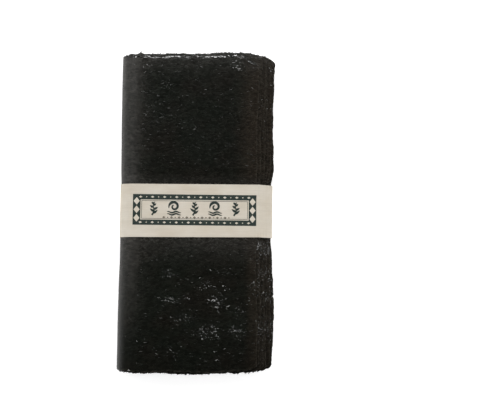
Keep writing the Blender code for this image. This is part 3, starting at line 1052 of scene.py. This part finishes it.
# A frame between two rectangles of one centre, walked once round, with even steps on each side.
def rectangleRing(size, bars):
    share = np.linspace(0, 1, 41)[:-1]
    a = np.concatenate([share, np.ones(40), 1 - share, np.zeros(40)]) - 0.5
    b = np.roll(a, 40)
    inset = np.linspace(0, 1, 5)[None, :]
    width = size[0] - 2 * bars[0] * inset
    height = size[1] - 2 * bars[1] * inset
    return printed(a[:, None] * width, b[:, None] * height, ring=True)


# A sprig of sea plant: a stem with one sine of sway, and slim blades on both sides that lean up and taper
# to a sine of the way along them.
def sprig(across, up, draw):
    t = np.linspace(0, 1, 25)
    lean, height, sway = label["stem"]
    stemA = across + lean * (t - 0.5) + sway * np.sin(2 * math.pi * t + draw.uniform(-0.4, 0.4))
    stemU = up + height * t - 4.6 * mm
    parts = [stroke(stemA, stemU, (0.6 - 0.36 * t) * mm)]
    for number, place in enumerate(label["blades"]):
        side = (-1) ** number
        rootA, rootU = np.interp(place, t, stemA), np.interp(place, t, stemU)
        length = (3.9 - 2.4 * place) * mm * draw.uniform(0.88, 1.1)
        lean = draw.uniform(16, 30) * degree
        bladeA = rootA + side * length * t * math.cos(lean)
        bladeU = rootU + length * (t * math.sin(lean) + 0.25 * t * t)
        parts.append(stroke(bladeA, bladeU, label["bladeWidth"] * np.sin(math.pi * t ** 0.7) ** 0.9))
    return parts


# A rolling wave: a spiral whose radius falls evenly, and long crests under it that taper to a cosine.
def curlingWave(across, up, draw):
    t = np.linspace(0, 1, 49)
    turn = math.pi * (1.08 - 2.5 * t) + draw.uniform(-0.1, 0.1)
    first, last = label["curl"]
    radius = first + (last - first) * t
    parts = [stroke(across + radius * np.cos(turn), up + 1.1 * mm + radius * np.sin(turn),
                    (0.98 - 0.55 * t) * mm * np.minimum(1, 6 * t + 0.2))]
    reach, height, ripple = label["crest"]
    share = np.linspace(-1, 1, 41)
    for down in label["crestY"]:
        crest = up - down + height * np.sin(share * ripple)
        parts.append(stroke(across + reach * share, crest, 0.55 * mm * np.cos(share * 1.45) ** 0.6))
    return parts


# Places of a count of things at an even pitch about the middle.
def spaced(count, pitch):
    return [(number - (count - 1) / 2) * pitch for number in range(count)]


# The label: a dark frame and keyline, sprigs and waves by turns, pale shapes on the bars, and small marks.
def addLabel():
    draw = random.Random(label["seed"])
    ink = inkMaterial("dark_ink", label["ink"])
    width, height = label["size"]
    sideBar, topBar = label["bars"]
    gap, line = label["keyline"]
    inside = (width - 2 * (sideBar + gap), height - 2 * (topBar + gap))
    frameSkins = [rectangleRing(label["size"], label["bars"]), rectangleRing(inside, (line, line))]
    addPiece("label_frame", *joined(frameSkins), ink, "band_paper")

    motifs = []
    for number, across in enumerate(spaced(label["motifs"], label["motifPitch"])):
        shape = curlingWave if number % 2 else sprig
        motifs += shape(across, label["motifY"], draw)
    addPiece("label_motifs", *joined(motifs), ink, "band_paper")

    pale = []
    for side in (-1, 1):
        up = side * (height - topBar) / 2
        pitch = (width - 2 * sideBar) / (label["dots"] - 1)
        for number, across in enumerate(spaced(label["dots"], pitch)):
            shape, size = (dot, label["dot"]) if number % 2 else (diamond, label["diamond"])
            pale.append(shape(across, up, size))
        for up in spaced(3, label["sidePitch"]):
            pale.append(diamond(side * (width - sideBar) / 2, up, label["sideDiamond"]))
    addPiece("label_border_dots", *joined(pale), paperMaterial("unprinted_paper", 1.04), "band_paper")

    marks = []
    for across in spaced(label["marks"], label["markPitch"]):
        marks.append(diamond(across, label["markY"], label["mark"], 1))
        marks.append(dot(across + label["markPitch"] / 2, label["markY"], label["dot"], 1.6, 1))
    addPiece("label_small_marks", *joined(marks), inkMaterial("pale_ink", label["paleInk"]), "band_paper")


addLabel()
print("label done")

studio = {
    "floor": 0.86,
    "floorGlow": 0.54,
    "floorReach": 4.0,  # metres
    "lights": (  # name, place and size in metres, watts, and whether the sheets mirror it
        ("left_light", (-0.95, 0.55, 0.55), (1.3, 0.5), 2.8, True),
        ("left_fill", (-0.95, 0.45, 0.50), (1.3, 0.5), 3.9, False),
        ("far_light", (0.05, 1.05, 0.62), (1.4, 0.45), 2.6, True),
        ("far_tube", (0.0, 0.90, 0.86), (0.45, 0.05), 8.0, True),  # small and bright, for the glints
        ("right_light", (0.95, 0.0, 0.62), (1.3, 0.5), 5.1, False),
        ("near_light", (0.0, -1.1, 0.48), (1.4, 0.6), 11.0, False),
    ),
    "horizon": 1.0,
    "overhead": 0.015,
    "fade": (0.05, 0.4),  # sines of the heights between which the room turns dim
    "cameraDistance": 893 * mm,
    "cameraTilt": 6.5 * degree,
    "cameraRoll": 0.64 * degree,
    "lens": 98.3,
    "target": (35.16 * mm, 7.75 * mm, 13.9 * mm),
}


# A large pale square just under the bundle, with a faint glow and slow clouds.
def addFloor():
    pale, reach = studio["floor"], studio["floorReach"]
    m = nodeTree(bpy.data.materials.new("pale_floor"))
    cloud = m.noise(m.place, (0.7, 0.7, 0.7), 2)
    m.wire(grey(1.0), m.shader["Emission Color"])
    m.wire(studio["floorGlow"], m.shader["Emission Strength"])
    corners = [(a * reach, b * reach, -0.05 * mm) for a, b in ((-1, -1), (1, -1), (1, 1), (-1, 1))]
    mesh = bpy.data.meshes.new("floor")
    mesh.from_pydata(corners, [], [(0, 1, 2, 3)])
    mesh.materials.append(m.finish(m.mix(cloud, grey(pale), grey(pale - 0.02)), 0.9, 0.1))
    added("floor", mesh)


# A square soft light at a place, turned to face the bundle.
def addLight(name, place, size, watts, mirrored):
    lamp = bpy.data.lights.new(name, "AREA")
    lamp.shape = "RECTANGLE"
    lamp.size, lamp.size_y = size
    lamp.energy = watts
    light = added(name, lamp)
    light.location = place
    light.visible_glossy = mirrored
    light.rotation_euler = (-Vector(place)).to_track_quat("-Z", "Y").to_euler()


# A plain room: pale round the horizon, dim overhead, by the height of the direction looked in.
def addRoom():
    w = nodeTree(bpy.data.worlds.new("studio"), "Background")
    height = w.add("SeparateXYZ", {0: w.coords["Generated"]}).outputs["Z"]
    w.wire(w.spread(height, *studio["fade"], studio["horizon"], studio["overhead"]), w.shader["Strength"])
    w.wire(grey(1.0), w.shader["Color"])
    bpy.context.scene.world = w.owner


# The camera looks almost straight down on the label, from a distance along its tilted axis.
def addCamera():
    lens = bpy.data.cameras.new("camera")
    lens.lens = studio["lens"]
    lens.sensor_width = 36
    camera = added("camera", lens)
    tilt = studio["cameraTilt"]
    away = Vector((0, -math.sin(tilt), math.cos(tilt)))
    camera.location = Vector(studio["target"]) + studio["cameraDistance"] * away
    aim = Euler((tilt, 0, 0)).to_quaternion() @ Quaternion((0, 0, 1), studio["cameraRoll"])
    camera.rotation_euler = aim.to_euler()
    bpy.context.scene.camera = camera


addFloor()
addRoom()
for light in studio["lights"]:
    addLight(*light)
addCamera()
bpy.context.scene.view_settings.view_transform = "Standard"
print("stage, lights and camera done")
